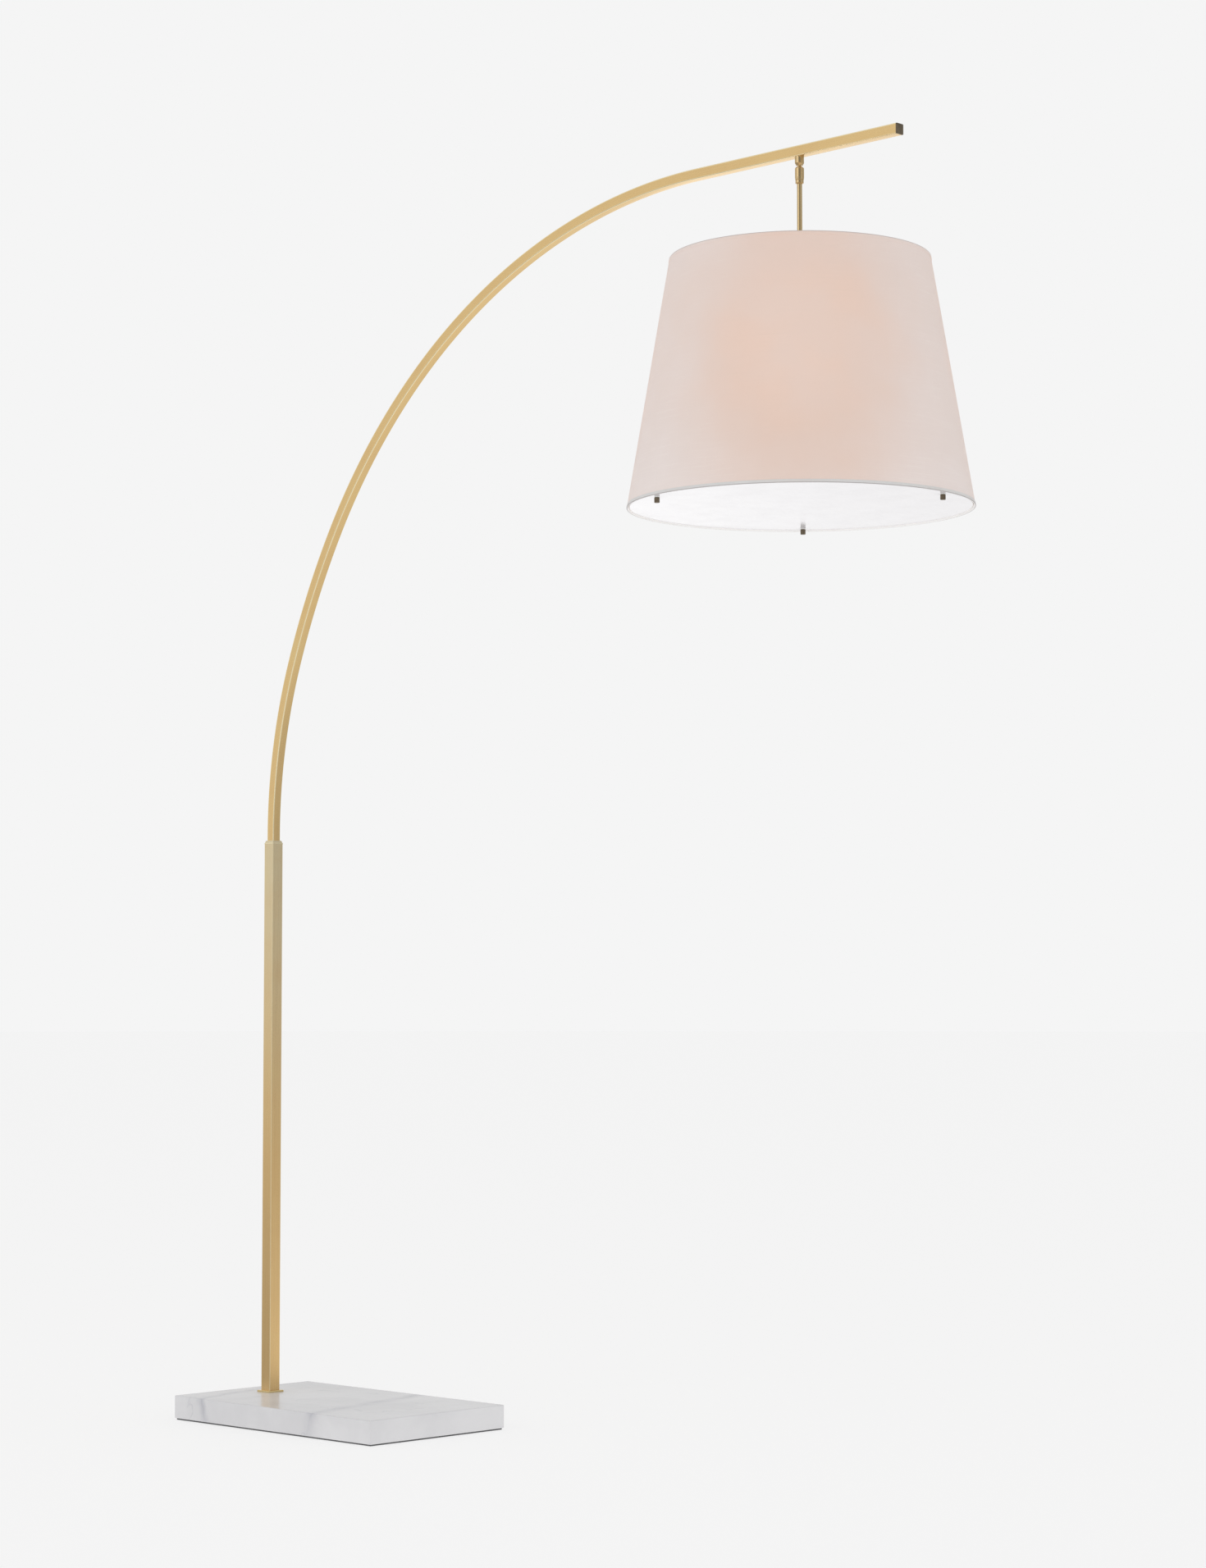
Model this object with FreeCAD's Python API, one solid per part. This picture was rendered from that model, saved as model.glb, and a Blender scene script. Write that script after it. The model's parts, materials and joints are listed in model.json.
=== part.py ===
import FreeCAD, Part
import math
import os

Vector = FreeCAD.Vector

# An arc floor lamp. Millimetres. The origin is on the floor under the pole's axis, +X is the way
# that the arm reaches, +Z is up.

X_AXIS, Y_AXIS, Z_AXIS = Vector(1, 0, 0), Vector(0, 1, 0), Vector(0, 0, 1)

# Base
felt_thickness = 2.5
felt_inset = 3.0
slab_length, slab_width, slab_thickness = 500.0, 300.0, 38.5
slab_behind_pole = 75.0
slab_edge_radius = 1.5
flange_side, flange_thickness, flange_edge = 33.0, 3.0, 0.8
tie_rod_radius = 5.0
tie_hole_radius = 6.0
recess_radius, recess_depth = 21.0, 20.0
tie_washer_radius, tie_washer_thickness = 17.0, 2.5
spring_washer_radius, spring_washer_thickness = 9.0, 2.5
tie_nut_flats, tie_nut_height = 17.0, 8.0
tie_rod_below_nut = 2.0

# Pole
pole_side, pole_wall, pole_corner = 22.5, 1.5, 0.8
pole_top_z = 993.0
foot_plug_height = 16.0
cap_height, cap_skirt, cap_top_side, cap_lip = 6.0, 1.5, 19.4, 0.4
inlet_above_flange = 41.0
grommet_bore_radius, grommet_body_radius, grommet_flange_radius = 3.25, 5.0, 6.6
grommet_outer_flange, grommet_inner_flange = 2.0, 1.5
grub_screw_radius, grub_screw_key = 2.0, 2.0
grub_screw_depths = (30.0, 90.0)

# Arm: a square tube that stands in the pole and bends through a right angle in three tangent arcs
arm_side, arm_wall, arm_corner, arm_bore_corner = 16.0, 1.5, 1.2, 0.4
arm_in_pole = 120.0
sleeve_stop = 5.0
arm_rise = 9.7
arm_bends = ((865.0, 19.9), (1257.0, 11.6), (991.0, 58.5))
arm_level_run = 402.0
end_cap_thickness, end_cap_plug = 2.0, 12.0

# Swivel: a ball under the arm, and a barrel that hangs on it
hang_x = 1215.0
coupling_radius, coupling_height, coupling_taper, coupling_foot_radius = 7.0, 14.0, 4.0, 4.8
coupling_stem_radius, coupling_bore_radius = 5.0, 2.8
stem_nut_flats, stem_nut_height = 12.0, 3.5
ball_radius, ball_below_coupling = 4.8, 5.2
neck_radius, ball_bore_radius = 2.7, 2.0
stud_in_coupling = 8.0
liner_inner, liner_outer, liner_top, liner_bottom = 4.85, 5.35, -0.5, -2.6
seat_cavity, seat_radius, seat_lip_radius, seat_top_radius = 5.4, 6.2, 4.85, 5.1
seat_lip_bottom, seat_shoulder, seat_top, seat_bottom = 1.25, 0.7, 2.2, -4.0
barrel_radius, barrel_cavity_radius = 7.0, 6.25
ring_nut_bottom, ring_nut_top, ring_nut_mouth, ring_nut_top_radius = 0.5, 2.9, 4.7, 5.6
barrel_length, barrel_foot_radius = 17.0, 6.6
lock_ring_height, lock_ring_radius, lock_ring_groove = 6.0, 6.3, 0.8
rod_radius, rod_bore_radius, rod_in_barrel = 4.0, 3.0, 9.0

# Shade
shade_top_z, shade_bottom_z = 1834.0, 1455.5
shade_top_radius, shade_bottom_radius = 197.0, 261.6
linen_thickness, liner_thickness = 0.7, 0.5
hem_height, hem_thickness = 5.0, 0.5
wire_radius = 1.6
hub_below_top, hub_radius, hub_thickness = 10.0, 14.0, 2.5
rod_nut_flats, rod_nut_height = 13.0, 4.0
first_spoke_angle = 70.0

# Light cluster
cluster_radius, cluster_wall, cluster_top_z, cluster_height = 20.0, 3.0, 1804.0, 32.0
cluster_cover_thickness, cover_knob_radius, cover_knob_height = 3.0, 6.0, 9.0
socket_tilt, socket_origin_below_top = 50.0, 3.0
nipple_radius, nipple_bore_radius = 4.8, 2.6
nipple_start, nipple_end = 20.5, 40.0
cup_start, cup_shoulder, cup_end, cup_radius, cup_wall = 34.0, 44.0, 84.0, 16.5, 1.0
core_wall, core_back = 1.9, 3.0
bulb_cap_radius, bulb_cap_wall, bulb_cap_start, bulb_cap_end = 13.0, 1.0, 58.0, 88.0
contact_radius, contact_height = 5.0, 3.0
bulb_neck_end, bulb_centre, bulb_radius, glass_thickness = 94.0, 138.0, 30.0, 1.0
bulb_flank_angle, bulb_neck_pull, glass_in_cap = 50.0, 9.0, 8.0

# Diffuser and what holds it
diffuser_radius, diffuser_thickness, diffuser_above_rim = 257.5, 2.5, 1.8
stud_circle_radius, stud_radius, stud_hole_radius = 242.0, 2.0, 2.6
first_stud_angle = 10.0
tab_width, tab_thickness, tab_inner_radius, tab_outer_radius = 14.0, 1.2, 233.0, 258.4
thumb_nut_radius, thumb_nut_height, thumb_nut_chamfer, thread_clearance = 4.0, 8.0, 0.6, 0.05
thumb_nut_floor = 1.6
nylon_washer_radius, nylon_washer_thickness = 3.8, 0.8

# Leads
arm_lead_radius, thin_lead_radius, tail_radius = 2.5, 1.7, 1.1
lead_bend_radius, thin_lead_bend_radius = 7.5, 6.5
arm_lead_stops_short, thin_lead_rise = 16.0, 0.7

# Worked out from the dimensions above
slab_top_z = felt_thickness + slab_thickness
pole_foot_z = slab_top_z + flange_thickness
cap_foot_z = pole_top_z - cap_height
pole_bore_side = pole_side - 2 * pole_wall
inlet_z = pole_foot_z + inlet_above_flange
arm_foot_z = pole_top_z - arm_in_pole
arm_bore_side = arm_side - 2 * arm_wall
arm_z = pole_top_z + arm_rise
arm_tip_x = 0.0
heading = 90.0
for radius, turn in arm_bends:
    arm_z += radius * (math.sin(math.radians(90 - heading + turn)) - math.sin(math.radians(90 - heading)))
    arm_tip_x += radius * (math.cos(math.radians(90 - heading)) - math.cos(math.radians(90 - heading + turn)))
    heading -= turn
arm_tip_x += arm_level_run
arm_underside_z = arm_z - arm_side / 2
coupling_foot_z = arm_underside_z - coupling_height
ball_z = coupling_foot_z - ball_below_coupling
barrel_foot_z = ball_z + ring_nut_bottom - barrel_length
rod_top_z = barrel_foot_z + rod_in_barrel
hub_z = shade_top_z - hub_below_top
shade_slope = (shade_bottom_radius - shade_top_radius) / (shade_top_z - shade_bottom_z)
skin_widening = math.hypot(1, shade_slope)
cluster_foot_z = cluster_top_z - cluster_height
rod_foot_z = cluster_top_z - cluster_wall
socket_origin_z = cluster_top_z - socket_origin_below_top
diffuser_z = shade_bottom_z + diffuser_above_rim
diffuser_top_z = diffuser_z + diffuser_thickness
nylon_washer_z = diffuser_z - nylon_washer_thickness
thumb_nut_z = nylon_washer_z - thumb_nut_height
ball_centre = Vector(hang_x, 0, ball_z)


def cylinder(radius, height, base, direction=Z_AXIS):
    """A cylinder that stands on base and points along direction."""
    return Part.makeCylinder(radius, height, base, direction)


def tube(outer, inner, height, base, direction=Z_AXIS):
    """A round tube."""
    return cylinder(outer, height, base, direction).cut(cylinder(inner, height, base, direction))


def rounded_square(side, corner):
    """A square face in the XY plane, centred on the origin, with round corners."""
    half, inner = side / 2, side / 2 - corner
    edges = []
    for quarter in range(4):
        turn = FreeCAD.Rotation(Z_AXIS, 90 * quarter)
        diagonal = inner + corner * math.sqrt(0.5)
        side_start, side_end = Vector(half, -inner, 0), Vector(half, inner, 0)
        corner_middle, corner_end = Vector(diagonal, diagonal, 0), Vector(inner, half, 0)
        edges.append(Part.LineSegment(turn.multVec(side_start), turn.multVec(side_end)).toShape())
        edges.append(Part.Arc(*[turn.multVec(p) for p in (side_end, corner_middle, corner_end)]).toShape())
    return Part.Face(Part.Wire(edges))


def disc(radius):
    """A round face in the XY plane, centred on the origin."""
    return Part.Face(Part.Wire(Part.makeCircle(radius)))


def square_bar(side, corner, z_low, z_high):
    """A square bar on the pole's axis, from z_low up to z_high."""
    bar = rounded_square(side, corner).extrude(Vector(0, 0, z_high - z_low))
    bar.translate(Vector(0, 0, z_low))
    return bar


def hexagon_nut(flats, height, bore_radius, base):
    """A hexagon nut that stands on base, with two of its flats facing along Y."""
    corner = flats / 2 / math.cos(math.radians(30))
    points = [Vector(corner, 0, 0)]
    for step in range(1, 7):
        angle = math.radians(60 * step)
        points.append(Vector(corner * math.cos(angle), corner * math.sin(angle), 0))
    body = Part.Face(Part.makePolygon(points)).extrude(Vector(0, 0, height))
    body.translate(base)
    round_off = Part.makeCone(corner + height, flats / 2 * 0.98, corner + height - flats / 2 * 0.98, base)
    return body.common(round_off).cut(cylinder(bore_radius, height, base))


def turned(outline, base=Vector(0, 0, 0)):
    """A turned piece: outline is a closed list of (radius, height) corners, spun about a vertical axis."""
    points = [Vector(radius, 0, height) for radius, height in outline]
    piece = Part.Face(Part.makePolygon(points + points[:1])).revolve(Vector(0, 0, 0), Z_AXIS, 360)
    piece.translate(base)
    return piece


def swept(face, start, heading, runs):
    """A bar along a path in the XZ plane. face is its section, heading its first direction in degrees
    above +X. Each run is (length, 0) for a straight or (radius, turn) for an arc, turn positive downwards."""
    pieces = []
    position = Vector(start)
    for size, turn in runs:
        angle = math.radians(heading)
        forward = Vector(math.cos(angle), 0, math.sin(angle))
        section = face.copy()
        section.Placement = FreeCAD.Placement(position, FreeCAD.Rotation(Y_AXIS, 90 - heading))
        if turn == 0:
            pieces.append(section.extrude(forward * size))
            position = position + forward * size
        else:
            side = 1 if turn > 0 else -1
            centre = position + Vector(math.sin(angle), 0, -math.cos(angle)) * (side * size)
            pieces.append(section.revolve(centre, Y_AXIS, turn))
            position = centre + FreeCAD.Rotation(Y_AXIS, turn).multVec(position - centre)
            heading -= turn
    return pieces[0].multiFuse(pieces[1:]) if len(pieces) > 1 else pieces[0]


def around(piece, count, first_angle):
    """Copies of a piece, evenly spaced around the shade's axis."""
    copies = []
    for step in range(count):
        copy = piece.copy()
        copy.rotate(Vector(hang_x, 0, 0), Z_AXIS, first_angle + 360 / count * step)
        copies.append(copy)
    return copies


def around_shade(piece, first_angle):
    """Three copies of a piece around the shade's axis, as one group."""
    return Part.makeCompound(around(piece, 3, first_angle))


def shade_radius(z):
    """The outer radius of the linen at height z."""
    return shade_top_radius + (shade_top_z - z) * shade_slope


# Base

def base_felt():
    length, width = slab_length - 2 * felt_inset, slab_width - 2 * felt_inset
    corner = Vector(felt_inset - slab_behind_pole, -width / 2, 0)
    return Part.makeBox(length, width, felt_thickness, corner)


def marble_slab():
    corner = Vector(-slab_behind_pole, -slab_width / 2, felt_thickness)
    slab = Part.makeBox(slab_length, slab_width, slab_thickness, corner)
    slab = slab.makeFillet(slab_edge_radius, slab.Edges)
    slab = slab.cut(cylinder(tie_hole_radius, slab_thickness, Vector(0, 0, felt_thickness)))
    return slab.cut(cylinder(recess_radius, recess_depth, Vector(0, 0, felt_thickness)))


def foot_flange():
    plate = square_bar(flange_side, 1.5, slab_top_z, pole_foot_z)
    top_edges = [e for e in plate.Edges if min(v.Z for v in e.Vertexes) > pole_foot_z - 0.01]
    plate = plate.makeChamfer(flange_edge, top_edges)
    return plate.cut(cylinder(tie_rod_radius + 0.3, flange_thickness, Vector(0, 0, slab_top_z)))


recess_roof_z = felt_thickness + recess_depth
tie_washer_z = recess_roof_z - tie_washer_thickness
spring_washer_z = tie_washer_z - spring_washer_thickness
tie_nut_z = spring_washer_z - tie_nut_height
tie_rod_foot_z = tie_nut_z - tie_rod_below_nut
tie_rod_top_z = pole_foot_z + foot_plug_height - 2


def tie_rod():
    length = tie_rod_top_z - tie_rod_foot_z
    rod = cylinder(tie_rod_radius, length, Vector(0, 0, tie_rod_foot_z))
    return rod.makeChamfer(0.8, [e for e in rod.Edges if len(e.Vertexes) == 1])


def tie_washer():
    return tube(tie_washer_radius, tie_rod_radius + 0.3, tie_washer_thickness, Vector(0, 0, tie_washer_z))


def spring_washer():
    ring = tube(spring_washer_radius, tie_rod_radius + 0.1, spring_washer_thickness,
                Vector(0, 0, spring_washer_z))
    split = Part.makeBox(spring_washer_radius, 1.2, spring_washer_thickness, Vector(0, -0.6, spring_washer_z))
    return ring.cut(split)


def tie_nut():
    return hexagon_nut(tie_nut_flats, tie_nut_height, tie_rod_radius, Vector(0, 0, tie_nut_z))


# Pole

def grub_screw_hole(depth):
    """A hole from the pole's back face in to the arm."""
    start = Vector(-pole_side / 2, 0, pole_top_z - depth)
    return cylinder(grub_screw_radius, (pole_side - arm_side) / 2, start, X_AXIS)


def pole_tube():
    tube_outer = square_bar(pole_side, pole_corner, pole_foot_z, cap_foot_z)
    pole = tube_outer.cut(square_bar(pole_bore_side, 0.4, pole_foot_z, cap_foot_z))
    pole = pole.cut(cylinder(grommet_body_radius, pole_wall, Vector(-pole_side / 2, 0, inlet_z), X_AXIS))
    for depth in grub_screw_depths:
        pole = pole.cut(grub_screw_hole(depth))
    return pole


def foot_plug():
    block = square_bar(pole_bore_side, 0.4, pole_foot_z, pole_foot_z + foot_plug_height)
    return block.cut(cylinder(tie_rod_radius, foot_plug_height, Vector(0, 0, pole_foot_z)))


def cord_grommet():
    outer = cylinder(grommet_flange_radius, grommet_outer_flange,
                     Vector(-pole_side / 2 - grommet_outer_flange, 0, inlet_z), X_AXIS)
    outer = outer.makeFillet(0.8, [e for e in outer.Edges if e.CenterOfMass.x < -pole_side / 2 - 1])
    body = cylinder(grommet_body_radius, pole_wall, Vector(-pole_side / 2, 0, inlet_z), X_AXIS)
    inner = cylinder(grommet_flange_radius - 0.6, grommet_inner_flange,
                     Vector(pole_wall - pole_side / 2, 0, inlet_z), X_AXIS)
    length = grommet_outer_flange + pole_wall + grommet_inner_flange
    start = Vector(-pole_side / 2 - grommet_outer_flange, 0, inlet_z)
    bore = cylinder(grommet_bore_radius, length, start, X_AXIS)
    return outer.multiFuse([body, inner]).cut(bore)


def pole_cap():
    skirt = square_bar(pole_side + 2 * cap_lip, pole_corner, cap_foot_z, cap_foot_z + cap_skirt)
    low = rounded_square(pole_side, pole_corner).OuterWire
    high = rounded_square(cap_top_side, pole_corner).OuterWire
    low.translate(Vector(0, 0, cap_foot_z + cap_skirt))
    high.translate(Vector(0, 0, pole_top_z))
    taper = Part.makeLoft([low, high], True)
    return skirt.fuse(taper).cut(square_bar(arm_side, arm_corner, cap_foot_z, pole_top_z))


def arm_sleeve():
    low_z = arm_foot_z - sleeve_stop
    block = square_bar(pole_bore_side, 0.4, low_z, cap_foot_z)
    sleeve = block.cut(square_bar(arm_side, arm_corner, arm_foot_z, cap_foot_z))
    sleeve = sleeve.cut(square_bar(arm_bore_side, arm_corner, low_z, arm_foot_z))
    for depth in grub_screw_depths:
        sleeve = sleeve.cut(grub_screw_hole(depth))
    return sleeve


def grub_screws():
    screws = []
    for depth in grub_screw_depths:
        start = Vector(-pole_side / 2, 0, pole_top_z - depth)
        screw = cylinder(grub_screw_radius, (pole_side - arm_side) / 2, start, X_AXIS)
        corner = grub_screw_key / 2 / math.cos(math.radians(30))
        points = []
        for step in range(7):
            angle = math.radians(60 * step)
            points.append(start + Vector(0, corner * math.cos(angle), corner * math.sin(angle)))
        key = Part.Face(Part.makePolygon(points)).extrude(Vector(1.6, 0, 0))
        screws.append(screw.cut(key))
    return Part.makeCompound(screws)


# Arm

def arm_runs():
    """The arm's runs from its foot in the pole to its tip."""
    return [(arm_in_pole + arm_rise, 0), *arm_bends, (arm_level_run, 0)]


def arc_arm():
    foot = Vector(0, 0, arm_foot_z)
    outer = swept(rounded_square(arm_side, arm_corner), foot, 90, arm_runs())
    inner = swept(rounded_square(arm_bore_side, arm_bore_corner), foot, 90, arm_runs())
    stem_hole = cylinder(coupling_stem_radius, arm_wall + 1, Vector(hang_x, 0, arm_underside_z - 0.5))
    return outer.cut(inner).cut(stem_hole)


def arm_end_cap():
    plate = rounded_square(arm_side, arm_corner).extrude(Vector(0, 0, end_cap_thickness))
    face_edges = [e for e in plate.Edges if min(v.Z for v in e.Vertexes) > end_cap_thickness - 0.01]
    plate = plate.makeChamfer(0.5, face_edges)
    plug = rounded_square(arm_bore_side, arm_bore_corner).extrude(Vector(0, 0, -end_cap_plug))
    cap = plate.fuse(plug)
    cap.Placement = FreeCAD.Placement(Vector(arm_tip_x, 0, arm_z), FreeCAD.Rotation(Y_AXIS, 90))
    return cap


def arm_lead():
    start = Vector(-lead_bend_radius, 0, inlet_z)
    up_the_pole = arm_foot_z - inlet_z - lead_bend_radius + arm_in_pole + arm_rise
    along = arm_level_run - (arm_tip_x - hang_x) - arm_lead_stops_short
    runs = [(lead_bend_radius, -90), (up_the_pole, 0), *arm_bends, (along, 0)]
    return swept(disc(arm_lead_radius), start, 0, runs)


def swivel_lead():
    start = Vector(hang_x - arm_lead_stops_short, 0, arm_z + thin_lead_rise)
    straight = arm_lead_stops_short - thin_lead_bend_radius
    down = arm_z + thin_lead_rise - thin_lead_bend_radius - ball_z
    return swept(disc(thin_lead_radius), start, 0, [(straight, 0), (thin_lead_bend_radius, 90), (down, 0)])


# Swivel

def swivel_coupling():
    stem_top = coupling_height + arm_wall + stem_nut_height
    outline = [
        (0, 0), (coupling_foot_radius, 0), (coupling_radius, coupling_taper),
        (coupling_radius, coupling_height),
        (coupling_stem_radius, coupling_height), (coupling_stem_radius, stem_top), (0, stem_top),
    ]
    foot = Vector(hang_x, 0, coupling_foot_z)
    body = turned(outline, foot)
    body = body.cut(cylinder(coupling_bore_radius, stem_top, foot))
    return body.cut(cylinder(neck_radius, stud_in_coupling, foot))


def stem_nut():
    base = Vector(hang_x, 0, arm_underside_z + arm_wall)
    return hexagon_nut(stem_nut_flats, stem_nut_height, coupling_stem_radius, base)


def ball_stud():
    ball = Part.makeSphere(ball_radius, ball_centre)
    length = ball_below_coupling + stud_in_coupling
    stud = ball.fuse(cylinder(neck_radius, length, ball_centre))
    bore_start = ball_centre - Vector(0, 0, ball_radius)
    return stud.cut(cylinder(ball_bore_radius, length + ball_radius, bore_start))


def spherical_band(radius, z_low, z_high):
    """The part of a ball about the swivel's centre that lies between two heights."""
    slab = cylinder(2 * radius, z_high - z_low, ball_centre + Vector(0, 0, z_low))
    return Part.makeSphere(radius, ball_centre).common(slab)


def ball_liner():
    outer = spherical_band(liner_outer, liner_bottom, liner_top)
    return outer.cut(Part.makeSphere(liner_inner, ball_centre))


def ball_seat():
    outline = [
        (0, seat_bottom), (seat_radius, seat_bottom), (seat_radius, seat_shoulder),
        (seat_top_radius, seat_top),
        (0, seat_top),
    ]
    body = turned(outline, ball_centre)
    body = body.cut(spherical_band(seat_cavity, seat_bottom, seat_lip_bottom))
    return body.cut(spherical_band(seat_lip_radius, seat_lip_bottom, seat_top))


def swivel_ring_nut():
    lip_z = seat_top + thread_clearance
    outline = [
        (barrel_cavity_radius, ring_nut_bottom), (barrel_radius, ring_nut_bottom),
        (barrel_radius, ring_nut_bottom + 0.4), (ring_nut_top_radius, ring_nut_top),
        (ring_nut_mouth, ring_nut_top), (ring_nut_mouth, lip_z), (seat_top_radius + thread_clearance, lip_z),
        (barrel_cavity_radius, seat_shoulder + thread_clearance),
    ]
    return turned(outline, ball_centre)


def swivel_barrel():
    length = barrel_length
    outline = [
        (0, 0), (barrel_foot_radius, 0), (barrel_radius, 4), (barrel_radius, length), (0, length),
    ]
    foot = Vector(hang_x, 0, barrel_foot_z)
    barrel = turned(outline, foot)
    cavity_z = ball_z + seat_bottom - thread_clearance
    barrel = barrel.cut(cylinder(barrel_cavity_radius, 20, Vector(hang_x, 0, cavity_z)))
    barrel = barrel.cut(cylinder(rod_bore_radius, length, foot))
    return barrel.cut(cylinder(rod_radius, rod_in_barrel, foot))


def rod_lock_ring():
    groove_radius = lock_ring_radius - 0.9
    low, high = -lock_ring_height, 0.0
    outline = [
        (rod_radius, low), (lock_ring_radius - 1.2, low), (lock_ring_radius, low + 1.2),
        (lock_ring_radius, high - lock_ring_groove), (groove_radius, high - lock_ring_groove),
        (groove_radius, high), (rod_radius, high),
    ]
    return turned(outline, Vector(hang_x, 0, barrel_foot_z))


def drop_rod():
    return tube(rod_radius, rod_bore_radius, rod_top_z - rod_foot_z, Vector(hang_x, 0, rod_foot_z))


def rod_lead():
    top = ball_z - seat_cavity
    return cylinder(thin_lead_radius, top - rod_foot_z, Vector(hang_x, 0, rod_foot_z))


# Shade

def cone_skin(inset, thickness, z_low, z_high):
    """A conical skin, inset from the linen's outer face, measured square to the skin."""
    height = z_high - z_low
    base = Vector(hang_x, 0, z_low)
    solids = []
    for depth in (inset, inset + thickness):
        low = shade_radius(z_low) - depth * skin_widening
        high = shade_radius(z_high) - depth * skin_widening
        solids.append(Part.makeCone(low, high, height, base))
    return solids[0].cut(solids[1])


def shade_linen():
    return cone_skin(0, linen_thickness, shade_bottom_z + hem_thickness, shade_top_z - hem_thickness)


def shade_liner():
    return cone_skin(linen_thickness, liner_thickness, shade_bottom_z + hem_thickness,
                     shade_top_z - hem_thickness)


def hem(edge_z, inward):
    """A strip of linen folded over the rim at edge_z. inward is +1 at the bottom rim and -1 at the top."""
    skins = linen_thickness + liner_thickness
    z_inside = edge_z + inward * hem_thickness
    z_end = edge_z + inward * hem_height
    folded = cone_skin(-hem_thickness, skins + 2 * hem_thickness, min(edge_z, z_end), max(edge_z, z_end))
    hollow = cone_skin(0, skins, min(z_inside, z_end), max(z_inside, z_end))
    return folded.cut(hollow)


def ring_centre(edge_z, inward):
    """Height and radius of a wire ring that lies in the fold at a rim."""
    z = edge_z + inward * (hem_height + wire_radius)
    inner = shade_radius(z) - (linen_thickness + liner_thickness) * skin_widening
    return z, inner - wire_radius * skin_widening


def wire_ring(edge_z, inward):
    z, radius = ring_centre(edge_z, inward)
    return Part.makeTorus(radius, wire_radius, Vector(hang_x, 0, z))


def spider_hub():
    return tube(hub_radius, rod_radius, hub_thickness, Vector(hang_x, 0, hub_z - hub_thickness / 2))


def spider_arms():
    ring_z, ring_radius = ring_centre(shade_top_z, -1)
    start, end = Vector(hang_x + hub_radius - 1, 0, hub_z), Vector(hang_x + ring_radius, 0, ring_z)
    spoke = cylinder(wire_radius, (end - start).Length, start, end - start)
    spoke = spoke.cut(spider_hub()).cut(wire_ring(shade_top_z, -1))
    spoke = max(spoke.Solids, key=lambda solid: solid.Volume)
    return around_shade(spoke, first_spoke_angle)


def rod_nuts():
    top = hexagon_nut(rod_nut_flats, rod_nut_height, rod_radius, Vector(hang_x, 0, hub_z + hub_thickness / 2))
    low_z = hub_z - hub_thickness / 2 - rod_nut_height
    low = hexagon_nut(rod_nut_flats, rod_nut_height, rod_radius, Vector(hang_x, 0, low_z))
    return Part.makeCompound([top, low])


# Light cluster

def socket_axis(distance):
    """The point at a distance along the first socket's axis, which points out and down."""
    tilt = math.radians(socket_tilt)
    return Vector(hang_x + distance * math.sin(tilt), 0, socket_origin_z - distance * math.cos(tilt))


def on_socket_axis(piece):
    """Moves a piece made along +Z from the origin onto the first socket's axis."""
    piece.Placement = FreeCAD.Placement(socket_axis(0), FreeCAD.Rotation(Y_AXIS, 180 - socket_tilt))
    return piece


def along_socket(radius, start, end):
    """A solid cylinder on the first socket's axis."""
    direction = socket_axis(1) - socket_axis(0)
    return cylinder(radius, end - start, socket_axis(start), direction)


def cluster_body():
    foot = Vector(hang_x, 0, cluster_foot_z)
    body = cylinder(cluster_radius, cluster_height, foot)
    rims = [e for e in body.Edges if len(e.Vertexes) == 1]
    body = body.makeFillet(2.0, [e for e in rims if e.CenterOfMass.z > cluster_top_z - 1])
    body = body.cut(cylinder(cluster_radius - cluster_wall, cluster_height - cluster_wall, foot))
    body = body.cut(cylinder(rod_radius, cluster_wall, Vector(hang_x, 0, cluster_top_z - cluster_wall)))
    for hole in around(along_socket(nipple_radius, nipple_start - 2, nipple_end), 3, first_spoke_angle):
        body = body.cut(hole)
    return body


def cluster_cover():
    plate = cylinder(cluster_radius - cluster_wall, cluster_cover_thickness,
                     Vector(hang_x, 0, cluster_foot_z))
    knob = [
        (0, -cover_knob_height), (cover_knob_radius * 0.6, -cover_knob_height),
        (cover_knob_radius, -cover_knob_height * 0.7), (cover_knob_radius * 0.5, -1),
        (cover_knob_radius, 0), (0, 0),
    ]
    return plate.fuse(turned(knob, Vector(hang_x, 0, cluster_foot_z)))


def socket_nipples():
    nipple = along_socket(nipple_radius, nipple_start, nipple_end)
    nipple = nipple.cut(along_socket(nipple_bore_radius, nipple_start, nipple_end))
    return around_shade(nipple, first_spoke_angle)


def socket_cups():
    outline = [
        (0, cup_start), (7, cup_start), (13, cup_start + 4), (cup_radius, cup_shoulder),
        (cup_radius, cup_end),
        (0, cup_end),
    ]
    cup = on_socket_axis(turned(outline))
    cup = cup.cut(along_socket(cup_radius - cup_wall, cup_shoulder, cup_end))
    return around_shade(cup.cut(along_socket(nipple_radius, cup_start, cup_shoulder)), first_spoke_angle)


def socket_cores():
    core = along_socket(cup_radius - cup_wall, cup_shoulder, cup_end)
    core = core.cut(along_socket(cup_radius - cup_wall - core_wall, cup_shoulder + core_back, cup_end))
    return around_shade(core.cut(along_socket(nipple_bore_radius, cup_shoulder, cup_end)), first_spoke_angle)


def bulb_caps():
    """The three bulbs' screw caps, one solid each."""
    shell = along_socket(bulb_cap_radius, bulb_cap_start, bulb_cap_end)
    shell = shell.cut(along_socket(bulb_cap_radius - bulb_cap_wall, bulb_cap_start + 2, bulb_cap_end))
    contact = along_socket(contact_radius, bulb_cap_start - contact_height, bulb_cap_start)
    return around(shell.fuse(contact), 3, first_spoke_angle)


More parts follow.
